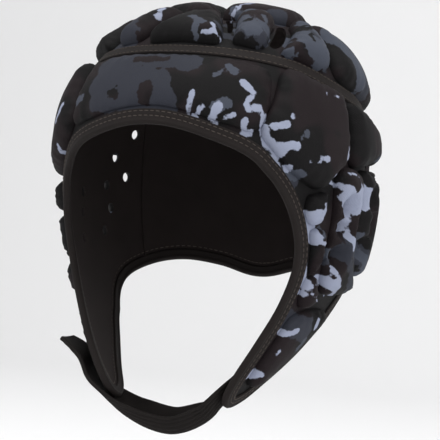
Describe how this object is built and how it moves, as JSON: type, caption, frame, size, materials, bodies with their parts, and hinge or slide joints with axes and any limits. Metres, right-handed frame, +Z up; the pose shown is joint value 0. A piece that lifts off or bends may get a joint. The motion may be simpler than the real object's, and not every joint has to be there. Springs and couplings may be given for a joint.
{
  "type": "rugby scrum cap",
  "caption": "Padded soft rugby cap with foam cells under printed stretch cloth, ear flaps with holes, taped edges and a chin strap.",
  "frame": {"origin": "the lining at the crown's top, where the head carries the cap", "axes": "+Z up and away from the head, -Y the way the face looks, +X towards the wearer's left ear"},
  "size_m": [0.1836, 0.1835, 0.2459],
  "materials": {
    "printed_cloth": "matte stretch knit printed in dark and slate camouflage",
    "strip_knit": "matte printed knit over narrow foam strips",
    "binding_tape": "folded stretch tape with a rolled edge, slight sheen",
    "strap_cloth": "foam-backed strap cloth with lengthwise stitching"
  },
  "bodies": {
    "root": {"cap_crown": "printed_cloth", "cap_front": "printed_cloth", "cap_back": "printed_cloth", "cap_side_left": "printed_cloth", "cap_side_right": "printed_cloth", "crown_top_left": "printed_cloth", "crown_top_right": "printed_cloth", "crown_side_front_left": "printed_cloth", "crown_side_front_right": "printed_cloth", "crown_side_left": "printed_cloth", "crown_side_right": "printed_cloth", "crown_side_rear_left": "printed_cloth", "crown_side_rear_right": "printed_cloth", "crown_rear_left": "printed_cloth", "crown_rear_right": "printed_cloth", "temple_left": "printed_cloth", "temple_right": "printed_cloth", "side_rear_left": "printed_cloth", "side_rear_right": "printed_cloth", "ear_front_left": "printed_cloth", "ear_front_right": "printed_cloth", "ear_rear_left": "printed_cloth", "ear_rear_right": "printed_cloth", "strip_upper_left": "strip_knit", "strip_upper_right": "strip_knit", "strip_middle_left": "strip_knit", "strip_middle_right": "strip_knit", "strip_lower_left": "strip_knit", "strip_lower_right": "strip_knit", "jaw_left": "printed_cloth", "jaw_right": "printed_cloth", "back_upper_left": "printed_cloth", "back_upper_right": "printed_cloth", "nape_left": "printed_cloth", "nape_right": "printed_cloth", "crown_front": "printed_cloth", "forehead": "printed_cloth", "crown_band": "binding_tape", "face_binding": "binding_tape", "neck_binding": "binding_tape", "chin_strap": "strap_cloth"}
  },
  "joints": []
}
